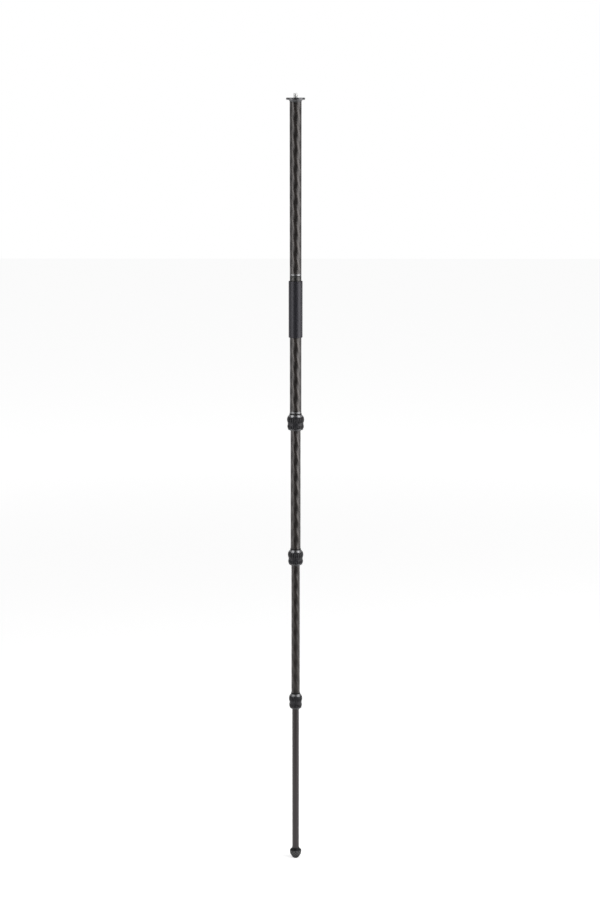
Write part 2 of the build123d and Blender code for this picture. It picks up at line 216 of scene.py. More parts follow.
# %% [markdown]
# ## Floor
# The floor is a plain pale sheet that keeps the pole's shadow. It has a glow of its own towards the
# camera, which grows with the distance from the pole as the lamps' light fades, so the ground stays as
# white as the backdrop. In reflections the sheet is dark on the camera's side, as the studio is there.
# More lamps would whiten it too, but they would also light the pole.

# %% Floor
HALF_FLOOR = 15
FLOOR_GREY = 0.8
DARK_BEFORE, PALE_AFTER = -1.4, -0.3
GLOW_NEAR, GLOW_FAR = (0.8, 0.5), (4.5, 0.8)

floor_bm = bmesh.new()
bmesh.ops.create_grid(floor_bm, x_segments=1, y_segments=1, size=HALF_FLOOR)
floor_mesh = bpy.data.meshes.new("floor")
floor_bm.to_mesh(floor_mesh)
floor_bm.free()
floor = bpy.data.objects.new("floor", floor_mesh)
bpy.context.scene.collection.objects.link(floor)
floor_finish = bpy.data.materials.new("pale_floor")
floor_finish.use_nodes = True
sheet = floor_finish.node_tree
paper = sheet.nodes["Principled BSDF"]
paper.inputs["Roughness"].default_value = 0.95
paper.inputs["Specular IOR Level"].default_value = 0.0
paper.inputs["Emission Color"].default_value = (1, 1, 1, 1)
floor_point = add_node(sheet, "ShaderNodeTexCoord").outputs["Object"]
pale_part = ramp(sheet, split(sheet, floor_point)["Y"], DARK_BEFORE, PALE_AFTER)
dark_part = maths(sheet, "SUBTRACT", 1.0, pale_part)
in_gloss = add_node(sheet, "ShaderNodeLightPath").outputs["Is Glossy Ray"]
shown = maths(sheet, "SUBTRACT", 1.0, maths(sheet, "MULTIPLY", in_gloss, dark_part))
grey = maths(sheet, "MULTIPLY", shown, FLOOR_GREY)
colour = add_node(sheet, "ShaderNodeCombineColor", {0: grey, 1: grey, 2: grey}).outputs[0]
sheet.links.new(colour, paper.inputs["Base Color"])
far = add_node(sheet, "ShaderNodeVectorMath", {0: floor_point}, operation="LENGTH").outputs["Value"]
white = ramp(sheet, far, start=GLOW_NEAR[0], end=GLOW_FAR[0], low=GLOW_NEAR[1], high=GLOW_FAR[1])
glow = maths(sheet, "MULTIPLY", maths(sheet, "MULTIPLY", seen_directly(sheet), shown), white)
sheet.links.new(glow, paper.inputs["Emission Strength"])
floor_mesh.materials.append(floor_finish)
print("floor:", 2 * HALF_FLOOR, "m wide")

# %% [markdown]
# ## Steps that every finish shares
# A finish is a Principled shader whose colour, roughness and bump are worked out from the surface
# point. Noise gives grain and wear, a blend turns it into colour, and a bump turns it into relief. Each
# of these is a few nodes, so each is a small function, and a finish then reads like a recipe.

# %% Helpers for finishes
def finish_with(name, colour, roughness, **sockets):
    """A new finish: its material, its node tree and its shader, with the plain values set."""
    finish = bpy.data.materials.new(name)
    finish.use_nodes = True
    shader = finish.node_tree.nodes["Principled BSDF"]
    shader.inputs["Base Color"].default_value = (*colour, 1)
    shader.inputs["Roughness"].default_value = roughness
    for socket, value in sockets.items():
        shader.inputs[socket.replace("_", " ")].default_value = value
    return finish, finish.node_tree, shader


def plug(tree, shader, **outputs):
    """Links node outputs to the shader's sockets, which are named as words with underscores."""
    for socket, output in outputs.items():
        tree.links.new(output, shader.inputs[socket.replace("_", " ")])


def surface_point(tree):
    """The surface point in the pole's own coordinates, in metres."""
    return add_node(tree, "ShaderNodeTexCoord").outputs["Object"]


def grain(tree, point, scale, stretch=(1, 1, 1), detail=2.0, rough=0.5):
    """Noise over a point whose coordinates are first stretched."""
    stretched = add_node(tree, "ShaderNodeVectorMath", {0: point, 1: stretch}, operation="MULTIPLY")
    cloud = add_node(tree, "ShaderNodeTexNoise", {"Vector": stretched.outputs[0], "Scale": scale,
                                                  "Detail": detail, "Roughness": rough})
    return cloud.outputs["Fac"]


def between(tree, factor, low, high):
    """A value that goes from low to high as the factor goes from 0 to 1."""
    return ramp(tree, factor, 0.0, 1.0, low, high)


def blend_colours(tree, factor, first, second):
    """A colour between two, which may be plain colours or other nodes' outputs."""
    mix = add_node(tree, "ShaderNodeMix", {"Factor": factor}, data_type="RGBA")
    for index, colour in ((6, first), (7, second)):
        if isinstance(colour, bpy.types.NodeSocket):
            tree.links.new(colour, mix.inputs[index])
        else:
            mix.inputs[index].default_value = (*colour, 1)
    return mix.outputs[2]


def relief(tree, height, depth, under=None):
    """A bump of the given depth in metres, laid over an earlier one."""
    inputs = {"Height": height, "Distance": depth, "Strength": 1.0}
    if under:
        inputs["Normal"] = under
    return add_node(tree, "ShaderNodeBump", inputs).outputs["Normal"]


FINISH = {}
print("finishes to make:", ", ".join(sorted(set(slot_of.values()))))

# %% [markdown]
# ## Carbon tubes: the finish
# The tubes are wound from carbon tape. Three tapes climb round the tube together, and between them
# runs tape of the other hand, so broad bands spiral down to the right and the highlights sway a
# little as they cross each band. A picture of carbon cloth would show a seam. Instead the pattern is
# worked out from the surface point itself: the point is turned about the axis by an amount that grows
# with its height, and in those twisted coordinates a spiral is simply a straight line. The last tube is
# the same fibre without the bands, with faint rings from the winding.

# %% Finishes of the carbon
FIBRES = {"scale": 900, "stretch": (1, 1, 0.02), "detail": 3.0, "rough": 0.6}
FINE_FIBRES = {"scale": 700, "stretch": (1, 1, 0.05), "detail": 3.0, "rough": 0.6}
WINDING_RINGS = {"scale": 30, "stretch": (0.1, 0.1, 1), "detail": 1.0}
RESIN = (0.008, 0.007, 0.006)
FIBRE_DEPTH, FINE_FIBRE_DEPTH = 0.000001, 0.000004


def twisted(tree, lead):
    """The surface point turned about the axis, by a full turn for each lead of height, in metres."""
    point = surface_point(tree)
    angle = maths(tree, "MULTIPLY", split(tree, point)["Z"], math.tau / lead)
    turned = add_node(tree, "ShaderNodeVectorRotate", {"Vector": point, "Angle": angle},
                      rotation_type="Z_AXIS")
    return turned.outputs["Vector"]


def wound_carbon(name, lead, tapes, sway, dark, light):
    """Bands of tape that climb by one lead a turn, with fibres of the other hand between them."""
    finish, tree, shader = finish_with(name, dark, 0.34, Coat_Weight=0.12, Coat_Roughness=0.24,
                                       Specular_Tint=(1.0, 0.95, 0.93, 1.0))
    along = twisted(tree, lead)
    across = twisted(tree, -lead)
    flat = split(tree, along)
    turn = maths(tree, "MULTIPLY", maths(tree, "ARCTAN2", flat["Y"], flat["X"]), tapes)
    wave = maths(tree, "MULTIPLY_ADD", maths(tree, "SINE", turn), 0.5, 0.5)
    band = ramp(tree, wave, start=0.3, end=0.7, interpolation_type="SMOOTHSTEP")
    two_hands = {"Factor": band, "A": grain(tree, across, **FIBRES), "B": grain(tree, along, **FIBRES)}
    fibres = add_node(tree, "ShaderNodeMix", two_hands).outputs["Result"]
    tape = blend_colours(tree, band, dark, light)
    plug(tree, shader,
         Base_Color=blend_colours(tree, between(tree, fibres, 0.7, 1.0), RESIN, tape),
         Roughness=between(tree, band, 0.39, 0.3),
         Normal=relief(tree, fibres, FIBRE_DEPTH, under=relief(tree, wave, sway)))
    return finish


def plain_carbon(name, lead, thread, dark, light):
    """Fine fibres of one colour over faint rings that go from dark to light."""
    finish, tree, shader = finish_with(name, light, 0.36, Coat_Weight=0.08, Coat_Roughness=0.25,
                                       Specular_Tint=(1.0, 0.94, 0.95, 1.0))
    rings = grain(tree, surface_point(tree), **WINDING_RINGS)
    fibres = grain(tree, twisted(tree, lead), **FINE_FIBRES)
    plug(tree, shader,
         Base_Color=blend_colours(tree, fibres, thread, blend_colours(tree, rings, dark, light)),
         Normal=relief(tree, fibres, FINE_FIBRE_DEPTH))
    return finish


FINISH["carbon"] = wound_carbon("wound_carbon", lead=0.105, tapes=3, sway=0.0008,
                                dark=(0.0085, 0.007, 0.0065), light=(0.021, 0.0175, 0.016))
FINISH["carbon_smooth"] = plain_carbon("plain_carbon", lead=0.02, thread=(0.012, 0.01, 0.01),
                                       dark=(0.014, 0.011, 0.0115), light=(0.023, 0.016, 0.017))
print("carbon finishes:", ", ".join(FINISH))

# %% [markdown]
# ## Metal finishes
# The fittings are turned on a lathe, so every metal face carries fine rings around the axis. The noise
# that makes them reads only the distance from the axis and the height, so the rings close on
# themselves. The bright rings and the screws are left bare, the collar and the platform are satin and
# darker, and the locks' cones are polished before they are anodised. Some parts of a fitting are darker
# and rougher than the rest of it: the lip and mouth of a nut have a duller finish, while the foot of
# the platform's flare and the last lock's cone are darkened as painted shade. Each mesh says where, in
# an attribute called shade, and the finish reads that.

# %% Finishes of the metal
LATHE_RINGS = {"scale": 2600, "detail": 3.0, "rough": 0.7}
STAINS = {"scale": 90, "detail": 4.0, "rough": 0.6}
RING_DARKNESS = 0.78
# how much darker the duller parts and the painted shade are, and how much rougher
DULL_AND_SHADE_DARKNESS, DULL_ROUGHNESS = 0.25, 0.25


def kept_in_mesh(tree, name):
    """A value from 0 to 1 that the mesh carries at each of its points, or 0 where it has none."""
    return add_node(tree, "ShaderNodeAttribute", attribute_name=name).outputs["Fac"]


def turned_metal(name, colour, roughness, spread, ring_depth, metallic=1.0):
    """Metal with lathe rings and stains that spread its roughness, darker and rougher where the mesh marks.
    """
    finish, tree, shader = finish_with(name, colour, roughness, Metallic=metallic)
    flat = split(tree, surface_point(tree))
    squares = [maths(tree, "MULTIPLY", flat[axis], flat[axis]) for axis in ("X", "Y")]
    distance = maths(tree, "SQRT", maths(tree, "ADD", *squares))
    lathe_point = add_node(tree, "ShaderNodeCombineXYZ", {"X": distance, "Y": flat["Z"]}).outputs[0]
    rings = grain(tree, lathe_point, **LATHE_RINGS)
    stains = grain(tree, surface_point(tree), **STAINS)
    stained = between(tree, stains, roughness - spread, roughness + spread)
    # shade attribute: a duller finish on nut lips and mouths, painted shade on the flare's foot and last
    # cone
    shade_and_dullness = kept_in_mesh(tree, "shade")
    in_ring = tuple(RING_DARKNESS * part for part in colour)
    dull_and_shaded_colour = tuple(DULL_AND_SHADE_DARKNESS * part for part in colour)
    plug(tree, shader,
         Base_Color=blend_colours(tree, shade_and_dullness, blend_colours(tree, rings, in_ring, colour), dull_and_shaded_colour),
         Roughness=maths(tree, "MULTIPLY_ADD", shade_and_dullness, DULL_ROUGHNESS, stained),
         Normal=relief(tree, rings, ring_depth))
    return finish


FINISH["satin_metal"] = turned_metal("satin_aluminium", (0.16, 0.16, 0.165),
                                     roughness=0.42, spread=0.08, ring_depth=0.00001)
FINISH["bright_ring"] = turned_metal("bright_aluminium", (0.175, 0.175, 0.178),
                                     roughness=0.42, spread=0.06, ring_depth=0.000008)
FINISH["bright_steel"] = turned_metal("bright_steel", (0.9, 0.9, 0.89),
                                      roughness=0.55, spread=0.06, ring_depth=0.000006, metallic=0.6)
FINISH["polished_nut"] = turned_metal("polished_cone", (0.38, 0.38, 0.39),
                                      roughness=0.3, spread=0.05, ring_depth=0.000004)
FINISH["dark_collar"] = turned_metal("dark_collar", (0.068, 0.066, 0.064),
                                     roughness=0.45, spread=0.06, ring_depth=0.000006)
print("finishes with the metals:", len(FINISH))

# %% [markdown]
# ## Rubber, foam and plastic
# The grip is fine closed-cell foam: thousands of cut cells make it matt. The lock sleeves and the foot
# are moulded rubber, smoother, and greyer in mottled patches of wear. Cell texture gives the foam its
# pits, and plain noise is enough for the rubber, whose mould left a fine even grain. The rubber's
# grooves are darkened as painted shade and the faces of the foot's lugs are lightened as painted
# light, and the mesh says where in two attributes.

# %% Finishes of the soft pieces
FOAM_CELLS = 1900.0
FOAM_PATCHES = {"scale": 70, "detail": 4.0, "rough": 0.6}
FOAM_DENTS = {"scale": 260, "detail": 3.0}
DENT_DEPTH, CELL_DEPTH = 0.00006, 0.00003
WEAR = {"scale": 160, "detail": 5.0, "rough": 0.65}
MOULD_GRAIN = {"scale": 2200, "detail": 2.0}
# colours of the painted light on the foot's lugs and of the painted shade in the grooves
LUG_PAINTED_LIGHT, GROOVE_PAINTED_SHADE = (0.15, 0.15, 0.154), (0.003, 0.003, 0.003)
GROOVE_ROUGHNESS = 0.35
WEAR_SMOOTHS, WEAR_ROUGHENS = 0.08, 0.1


def foam(name, dark, light):
    """Matt foam with patches between two colours, soft dents and fine pits."""
    finish, tree, shader = finish_with(name, dark, 0.42, Specular_IOR_Level=0.33,
                                       Specular_Tint=(0.95, 0.93, 1.0, 1.0))
    point = surface_point(tree)
    cells = add_node(tree, "ShaderNodeTexVoronoi", {"Vector": point, "Scale": FOAM_CELLS})
    pits = relief(tree, cells.outputs["Distance"], CELL_DEPTH)
    plug(tree, shader,
         Base_Color=blend_colours(tree, grain(tree, point, **FOAM_PATCHES), dark, light),
         Normal=relief(tree, grain(tree, point, **FOAM_DENTS), DENT_DEPTH, under=pits))
    return finish


def moulded(name, dark, light, roughness, grain_depth, gloss=0.3):
    """Moulded rubber or plastic: two colours, painted shade in the grooves, painted light on the lugs."""
    finish, tree, shader = finish_with(name, dark, roughness, Specular_IOR_Level=gloss,
                                       Specular_Tint=(0.98, 0.96, 1.0, 1.0))
    point = surface_point(tree)
    wear = grain(tree, point, **WEAR)
    # shade marks painted shade in grooves; the lug attribute marks painted light on the foot's lugs
    groove = kept_in_mesh(tree, "shade")
    face = blend_colours(tree, wear, dark, light)
    with_lug_light = blend_colours(tree, kept_in_mesh(tree, "painted_lug_light"), face, LUG_PAINTED_LIGHT)
    handled = between(tree, wear, roughness - WEAR_SMOOTHS, roughness + WEAR_ROUGHENS)
    plug(tree, shader,
         Base_Color=blend_colours(tree, groove, with_lug_light, GROOVE_PAINTED_SHADE),
         Roughness=maths(tree, "MULTIPLY_ADD", groove, GROOVE_ROUGHNESS, handled),
         Normal=relief(tree, grain(tree, point, **MOULD_GRAIN), grain_depth))
    return finish


FINISH["foam"] = foam("grip_foam", dark=(0.009, 0.009, 0.0113), light=(0.0165, 0.016, 0.0198))
FINISH["grip_rubber"] = moulded("sleeve_rubber", dark=(0.009, 0.009, 0.0105), light=(0.016, 0.016, 0.018),
                                roughness=0.42, grain_depth=0.00002)
FINISH["foot_rubber"] = moulded("foot_rubber", dark=(0.002, 0.002, 0.002), light=(0.004, 0.004, 0.004),
                                roughness=0.42, grain_depth=0.00002, gloss=0.22)
FINISH["dark_lip"] = moulded("lip_rubber", dark=(0.005, 0.005, 0.005), light=(0.009, 0.009, 0.009),
                             roughness=0.6, grain_depth=0.00003, gloss=0.2)
FINISH["white_plastic"] = moulded("slide_plastic", dark=(0.72, 0.71, 0.66), light=(0.8, 0.79, 0.75),
                                  roughness=0.4, grain_depth=0.00002)
print("finishes in all:", len(FINISH))

# %% [markdown]
# ## Turning on a lathe
# A round piece is an outline of corners, given as distance from the axis and height. The outline is
# spun about the pole's axis by an operator and closed on itself. Real turned edges are never knife
# sharp, so the sharp ones are then bevelled: the small round edge is what catches the light. Faces are
# smoothed everywhere but across the remaining sharp edges. Smoothing alone would bend the shading of a
# long face towards the small bevel at its end, so each point's shading direction is weighted by the
# area of the faces round it.

# %% Helpers for turned pieces
SIDES, FINE_SIDES = 96, 128
CLOSE_ENOUGH = 1e-6


def lathe(outline, sides=SIDES):
    """Turns a closed outline of (radius, height) corners, in millimetres, about the pole's axis."""
    bm = bmesh.new()
    corners = [bm.verts.new((radius * MM, 0, height * MM)) for radius, height in outline]
    for start, end in zip(corners, corners[1:] + corners[:1]):
        if start.co.x or end.co.x:
            bm.edges.new((start, end))
    bmesh.ops.spin(bm, geom=corners + bm.edges[:], cent=(0, 0, 0), axis=(0, 0, 1), angle=math.tau,
                   steps=sides, use_merge=True)
    bmesh.ops.remove_doubles(bm, verts=bm.verts[:], dist=CLOSE_ENOUGH)
    bmesh.ops.recalc_face_normals(bm, faces=bm.faces[:])
    return bm


def round_edges(bm, width, over=28, segments=2):
    """Bevels the edges that turn by more than a number of degrees."""
    limit = math.radians(over)
    sharp = [edge for edge in bm.edges if edge.is_manifold and edge.calc_face_angle() > limit]
    bmesh.ops.bevel(bm, geom=sharp, offset=width * MM, offset_type="OFFSET", affect="EDGES",
                    segments=segments, profile=0.5, material=-1, clamp_overlap=True)
    return bm


def height_of(vertex):
    """A point's height on the pole, in millimetres."""
    return vertex.co.z / MM


def reach_of(vertex):
    """A point's distance from the pole's axis, in millimetres."""
    return math.hypot(vertex.co.x, vertex.co.y) / MM


def put_on(bm, node, smooth_under=32):
    """Makes the finished piece that stands for a node, on the node's own body and with its finish."""
    bmesh.ops.recalc_face_normals(bm, faces=bm.faces[:])
    mesh = bpy.data.meshes.new(node + "_piece")
    bm.to_mesh(mesh)
    bm.free()
    mesh.shade_smooth()
    mesh.set_sharp_from_angle(angle=math.radians(smooth_under))
    mesh.materials.append(FINISH[slot_of[node]])
    piece = bpy.data.objects.new(node + "_piece", mesh)
    bpy.context.scene.collection.objects.link(piece)
    weighted = piece.modifiers.new("even_shading", "WEIGHTED_NORMAL")
    weighted.keep_sharp = True
    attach(piece, frame["nodes"][node]["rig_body"])
    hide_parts(node)
    print(piece.name, len(mesh.polygons), "faces")
    return piece


# %% [markdown]
# ## The five tubes
# A tube is a long ring with a wall of one to one and a half millimetres. More sides than the solids
# have give it a clean edge against the white ground. The column is as thick as the first leg section.
# A tube's ends come from its measured solid, so it is exactly as long as the frame says.

# %% Tubes
def tube(node, bore, radius, edge=0.15, sides=FINE_SIDES):
    """A plain ring between a bore and a radius, as long as the node, with slightly rounded edges."""
    low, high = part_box(node)
    bottom, top = low.z / MM, high.z / MM
    ring = lathe([(bore, bottom), (radius, bottom), (radius, top), (bore, top)], sides)
    put_on(round_edges(ring, edge), node)


tube("column_tube", COLUMN_BORE, POLE_RADIUS)
for number in (1, 2, 3, 4):
    tube(f"leg_tube_{number}", TUBE_BORE[number], TUBE_RADIUS[number])

# %% [markdown]
# ## Camera platform
# The platform is one turned disc with a concave flare underneath that runs into the column. Its top is
# cut with shallow rings that keep a camera from slipping. The flare and the rim are drawn with a small
# helper that bows a line outwards or inwards, and each ring is a groove of four corners in the outline.
# The foot of the flare is darkened as painted shade, where it runs into the shade of the column.

# %% Platform
PLATFORM_THICKNESS = 4.6
RIM_RADIUS, RIM_BOW = 19.2, 0.8
FLARE_RADIUS, FLARE_HEIGHT, FLARE_BOW = 16.5, 4.0, -1.17
RECESS_RADIUS, RECESS_DEPTH = 7.6, 1.7
GRIP_RINGS, OUTER_RING, RING_SPACING = 6, 18.0, 1.4
RING_GROOVE = ((0.35, 0), (0.2, 0.18), (-0.2, 0.18), (-0.35, 0))
# painted shade at the foot of the flare, and the span below the underside where it fades in
FLARE_PAINTED_SHADE, SHADED_FLARE_FOOT = 0.6, (1.5, 3.5)


def bowed(start, end, bow, count):
    """Points from one corner to another along a line bowed sideways by a given distance."""
    run, rise = end[0] - start[0], end[1] - start[1]
    length = math.hypot(run, rise)
    points = []
    for step in range(count + 1):
        share = step / count
        out = bow * math.sin(math.pi * share) / length
        points.append((start[0] + run * share + rise * out, start[1] + rise * share - run * out))
    return points


def fade(value, start, end):
    """0 before start, 1 after end, and smooth between."""
    share = min(1, max(0, (value - start) / (end - start)))
    return share * share * (3 - 2 * share)


underside = PLATFORM_TOP - PLATFORM_THICKNESS
recess_floor = PLATFORM_TOP - RECESS_DEPTH
flare = bowed((POLE_RADIUS, underside - FLARE_HEIGHT), (FLARE_RADIUS, underside), FLARE_BOW, 10)
rim = bowed((RIM_RADIUS, underside), (RIM_RADIUS, PLATFORM_TOP), RIM_BOW, 8)
grip_rings = []
for step in range(GRIP_RINGS):
    radius = OUTER_RING - RING_SPACING * step
    grip_rings += [(radius + offset, PLATFORM_TOP - drop) for offset, drop in RING_GROOVE]
recess = [(RECESS_RADIUS, PLATFORM_TOP), (RECESS_RADIUS, recess_floor), (STUD_HOLE, recess_floor),
          (STUD_HOLE, COLUMN_TOP), (POLE_RADIUS, COLUMN_TOP)]
plate = round_edges(lathe(flare + rim + grip_rings + recess, FINE_SIDES), 0.1, over=40)
shade_and_dullness = plate.verts.layers.float.new("shade")
for vertex in plate.verts:
    # painted shade where the flare runs into the column
    vertex[shade_and_dullness] = FLARE_PAINTED_SHADE * fade(underside - height_of(vertex), *SHADED_FLARE_FOOT)
put_on(plate, "platform_plate", smooth_under=40)

# %% [markdown]
# ## Camera screw
# The stud has a coarse camera thread, sixteen turns to the inch. A thread is the outline of one turn,
# whose heights are shares of one pitch, swept round the axis while it climbs: the spin operator does
# both when it is given a step of height. Each turn's last corners land on the next turn's first, and
# merging them closes the thread. The sweep starts two turns too low. Cutting it level at both ends and
# filling the holes leaves a true screw. It stands on a plain shank with a flange, which lies in the
# platform's recess.

# %% Camera screw
PITCH = 25.4 / 16
THREAD_ROOT = 3.95
LEAD_IN = 1.0
SHANK_BOTTOM = 1678.5
FLANGE_TOP = PLATFORM_TOP - 0.1
FLANGE_RADIUS, FLANGE_THICKNESS = 7.5, 1.6
THREAD_OVERLAP = 0.1
TURNS_TOO_LOW = 2.1


def threaded(bottom, top, crest, root, lead_in, steps=32):
    """A screw thread between two heights, narrowed at its top so that it starts easily."""
    bm = bmesh.new()
    start = bottom - TURNS_TOO_LOW * PITCH
    turns = math.ceil((top - start) / PITCH) + 1
    tooth = ((crest, 0), (crest, 0.125), (root, 0.4375), (root, 0.6875), (crest, 1))
    corners = [bm.verts.new((radius * MM, 0, (start + share * PITCH) * MM)) for radius, share in tooth]
    for lower, upper in zip(corners, corners[1:]):
        bm.edges.new((lower, upper))
    bmesh.ops.spin(bm, geom=corners + bm.edges[:], cent=(0, 0, 0), axis=(0, 0, 1),
                   dvec=(0, 0, PITCH * MM / steps), angle=math.tau * turns, steps=steps * turns)
    bmesh.ops.remove_doubles(bm, verts=bm.verts[:], dist=CLOSE_ENOUGH)
    for height, keep_below in ((bottom, False), (top, True)):
        everything = bm.verts[:] + bm.edges[:] + bm.faces[:]
        bmesh.ops.bisect_plane(bm, geom=everything, plane_co=(0, 0, height * MM), plane_no=(0, 0, 1),
                               clear_outer=keep_below, clear_inner=not keep_below)
    for vertex in bm.verts:
        above = height_of(vertex) - (top - lead_in)
        if above > 0 and reach_of(vertex) > crest - above:
            vertex.co.xy *= (crest - above) / reach_of(vertex)
    rims = [edge for edge in bm.edges if edge.is_boundary]
    bmesh.ops.holes_fill(bm, edges=rims)
    return bm


def joined(*parts):
    """Several meshes in one."""
    whole = bmesh.new()
    for part in parts:
        mesh = bpy.data.meshes.new("part")
        part.to_mesh(mesh)
        part.free()
        whole.from_mesh(mesh)
        bpy.data.meshes.remove(mesh)
    return whole


flange_bottom = FLANGE_TOP - FLANGE_THICKNESS
shank = lathe([(0, SHANK_BOTTOM), (STUD_RADIUS, SHANK_BOTTOM), (STUD_RADIUS, flange_bottom),
               (FLANGE_RADIUS, flange_bottom), (FLANGE_RADIUS, FLANGE_TOP), (0, FLANGE_TOP)])
stud = threaded(FLANGE_TOP - THREAD_OVERLAP, STUD_TOP, STUD_RADIUS, THREAD_ROOT, LEAD_IN)
put_on(joined(round_edges(shank, 0.2), stud), "camera_screw")

# %% [markdown]
# ## Where the column meets the leg
# The column ends in a bright ring, whose spigot fills the tube and has a blind hole for the leg's stud.
# Under a hairline seam sits the leg's collar, as dark as the tube and just as wide, with its own spigot
# in the leg. A lathe cut two fine grooves round the collar, and each is three corners in its outline.
# A last bright ring stands out a little from the leg above the first lock.

# %% Bright rings and dark collar
SEAM_TOP = COLLAR_TOP + 0.3
END_CHAMFER = 0.5
HOLE_TOP, SPIGOT_TOP = 1346.0, 1355.9
SPIGOT_LENGTH = 9
GROOVE_HEIGHTS = (COLLAR_BOTTOM + 1.8, COLLAR_TOP - 2.2)
GROOVE_HALF_WIDTH, GROOVE_DEPTH = 0.25, 0.2
TRIM_RADIUS = 12.7

end_fitting = lathe([
    (STUD_HOLE, SEAM_TOP), (POLE_RADIUS - END_CHAMFER, SEAM_TOP), (POLE_RADIUS, SEAM_TOP + END_CHAMFER),
    (POLE_RADIUS, COLUMN_BOTTOM), (COLUMN_BORE, COLUMN_BOTTOM), (COLUMN_BORE, SPIGOT_TOP),
    (0, SPIGOT_TOP), (0, HOLE_TOP), (STUD_HOLE, HOLE_TOP),
])
put_on(round_edges(end_fitting, 0.15), "column_end_fitting")

collar_grooves = []
for height in GROOVE_HEIGHTS:
    collar_grooves += [(POLE_RADIUS, height - GROOVE_HALF_WIDTH), (POLE_RADIUS - GROOVE_DEPTH, height),
                       (POLE_RADIUS, height + GROOVE_HALF_WIDTH)]
spigot_bottom = COLLAR_BOTTOM - SPIGOT_LENGTH
collar = lathe([
    (STUD_RADIUS, spigot_bottom), (TUBE_BORE[1], spigot_bottom), (TUBE_BORE[1], COLLAR_BOTTOM),
    (POLE_RADIUS, COLLAR_BOTTOM), *collar_grooves, (POLE_RADIUS, COLLAR_TOP - END_CHAMFER),
    (POLE_RADIUS - END_CHAMFER, COLLAR_TOP), (STUD_RADIUS, COLLAR_TOP),
], FINE_SIDES)
put_on(round_edges(collar, 0.06), "leg_top_collar", smooth_under=40)

tube("leg_1_trim_ring", POLE_RADIUS, TRIM_RADIUS, edge=0.08, sides=SIDES)

# %% [markdown]
# ## Foam grip
# The grip is a foam tube pulled over the first leg section. Foam is never quite true: the ends turn in
# softly and the surface swells and sinks by a few hundredths of a millimetre where it was cut. A spun
# sleeve with many rings is pushed in and out by smooth noise to get that. The noise is shifted inwards,
# so that the sleeve keeps within its measured size.

# %% Grip
GRIP_RADIUS, GRIP_END_RADIUS = 15.0, 13.4
END_HEIGHT, END_BOW = 2.0, 0.75
GRIP_STEPS = 90
SKIN_DEPTH = 0.5
SWELLS = ((60, 0.07), (260, 0.03))
INWARDS = 0.08

low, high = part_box("foam_grip")
grip_bottom, grip_top = low.z / MM, high.z / MM
straight_part = grip_top - grip_bottom - 2 * END_HEIGHT
side = [(GRIP_RADIUS, grip_bottom + END_HEIGHT + straight_part * step / GRIP_STEPS)
        for step in range(1, GRIP_STEPS)]
lower_end = bowed((GRIP_END_RADIUS, grip_bottom), (GRIP_RADIUS, grip_bottom + END_HEIGHT), END_BOW, 6)
upper_end = bowed((GRIP_RADIUS, grip_top - END_HEIGHT), (GRIP_END_RADIUS, grip_top), END_BOW, 6)
inside = [(POLE_RADIUS, grip_top), (POLE_RADIUS, grip_bottom)]
sleeve = lathe(lower_end + side + upper_end + inside, FINE_SIDES)
for vertex in sleeve.verts:
    if reach_of(vertex) > POLE_RADIUS + SKIN_DEPTH:
        swell = sum(noise.noise(vertex.co * scale) * size for scale, size in SWELLS) - INWARDS
        vertex.co.xy *= 1 + swell / reach_of(vertex)
grip = put_on(sleeve, "foam_grip", smooth_under=60)

# %% [markdown]
# ## Twist locks: the metal nut
# Each lock is a metal nut under a rubber sleeve. Above the rubber shows a polished cone, and below it a
# thin lip and the narrow mouth that the next tube slides through. The outline is the nut's whole
# section, so the piece is as closed inside as the real one. The lip and the mouth are left duller than
# the cone. The last lock's cone is made rougher, and darkened as painted shade for the weaker reflection
# that the lowest cone catches: the mesh keeps both in the attribute that the finish reads.

# %% Nuts
CONE_TOP, CONE_TIP, CONE_BOTTOM, CONE_REACH = 10.6, 0.8, 6.6, 4.05
SEAT_BOTTOM, SEAT_REACH = -19.5, 2.9
LIP_BOTTOM, LIP_BEVEL = -22.0, 0.8
MOUTH_SIDE = [(1.2, -22.8), (1.2, -24.6), (0.5, -24.6)]
SEAL_GROOVE = [(0.5, -20.8), (1.6, -20.8), (1.6, -18.8), (0.5, -18.8)]
COLLET_SEAT = [(0.5, -17.0), (1.3, -17.0)]
THREAD_BORE = [(1.7, -7.0), (1.7, 6.9), (0.3, 6.9), (0.3, CONE_TOP)]
# the last lock's cone is rougher and darkened as painted shade
CONE_SHADE_AND_DULLNESS = {1: 0.0, 2: 0.0, 3: 0.45}
DULL_BELOW = (18.0, 19.0)


def about_lock(number, radius, corners, fullness=1.0):
    """Corners given as thickness outside a tube's radius and height from the lock's widest point."""
    return [(radius + fullness * out, LOCK_HEIGHT[number] + rise) for out, rise in corners]


def outside_lock(number, corners):
    """Corners of a lock's outer form, given as thickness outside the larger tube."""
    return about_lock(number, TUBE_RADIUS[number], corners, LOCK_FULLNESS[number])


